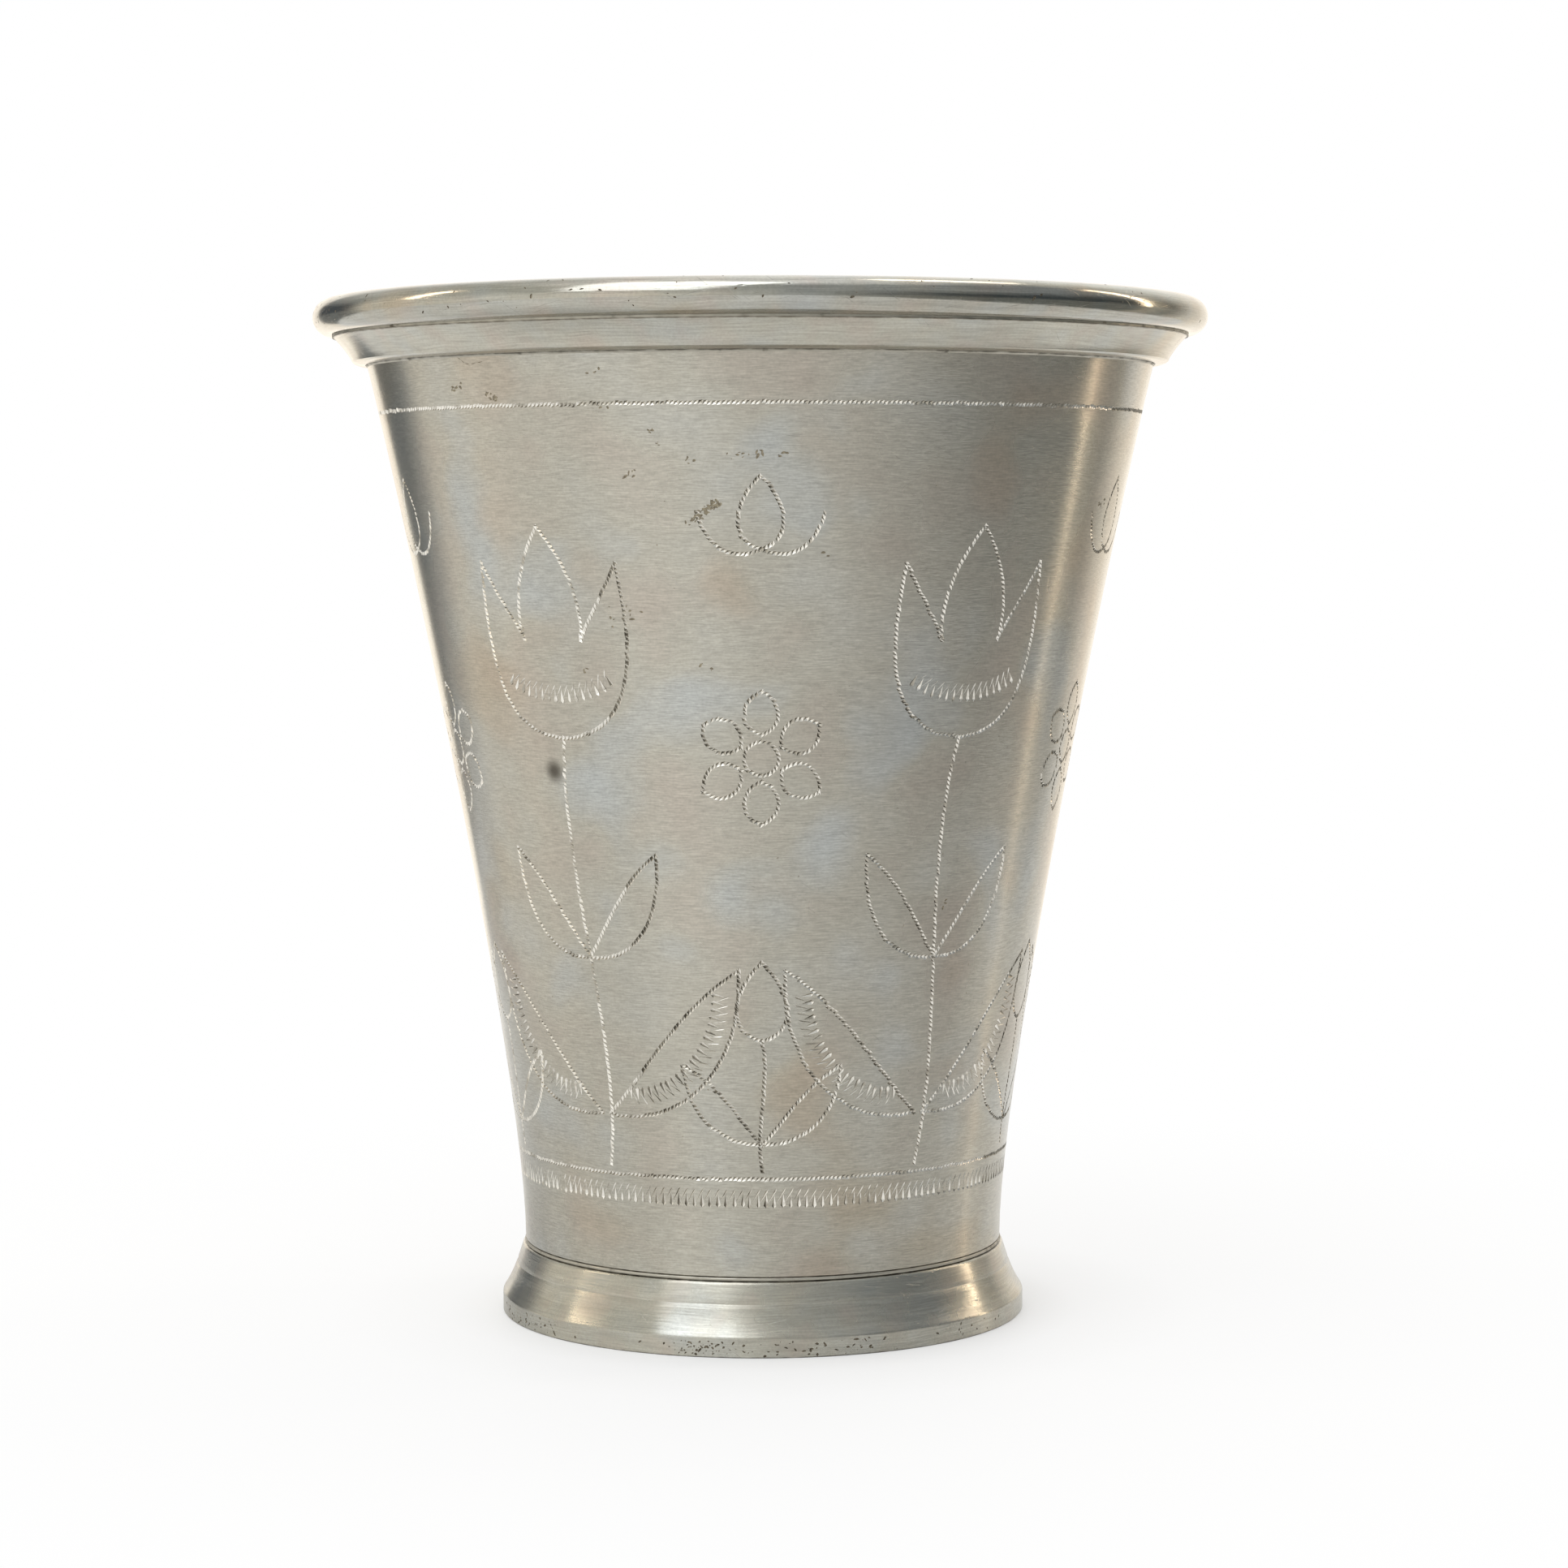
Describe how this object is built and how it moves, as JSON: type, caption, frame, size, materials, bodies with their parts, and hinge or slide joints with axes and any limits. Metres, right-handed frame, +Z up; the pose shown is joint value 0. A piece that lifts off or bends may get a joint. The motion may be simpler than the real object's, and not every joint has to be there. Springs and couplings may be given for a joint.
{
  "type": "pewter beaker",
  "caption": "Flared pewter drinking beaker on a spreading hollow foot, with a coved rim band and a round lip; turned rings soldered together, open at the top.",
  "frame": {"origin": "centre of the face of the foot that the beaker stands on", "axes": "+Z up along the turning axis, towards the lip; +X to the right and +Y away from the viewer in the picture"},
  "size_m": [0.1054, 0.1054, 0.12],
  "materials": {
    "turned_pewter": "lathe-turned pewter, worn satin with wriggle-work engraving",
    "floor_pewter": "turned pewter, dull from use",
    "foot_pewter": "turned pewter, burnished, pitted at the base",
    "rim_pewter": "turned pewter, satin",
    "lip_pewter": "turned pewter, rubbed bright by use",
    "solder": "soft solder, dull and grimy"
  },
  "bodies": {
    "root": {"body_wall": "turned_pewter", "floor_disc": "floor_pewter", "foot_ring": "foot_pewter", "rim_band": "rim_pewter", "lip_bead": "lip_pewter", "foot_solder": "solder", "floor_solder": "solder", "rim_solder": "solder", "lip_solder": "solder"}
  },
  "joints": []
}
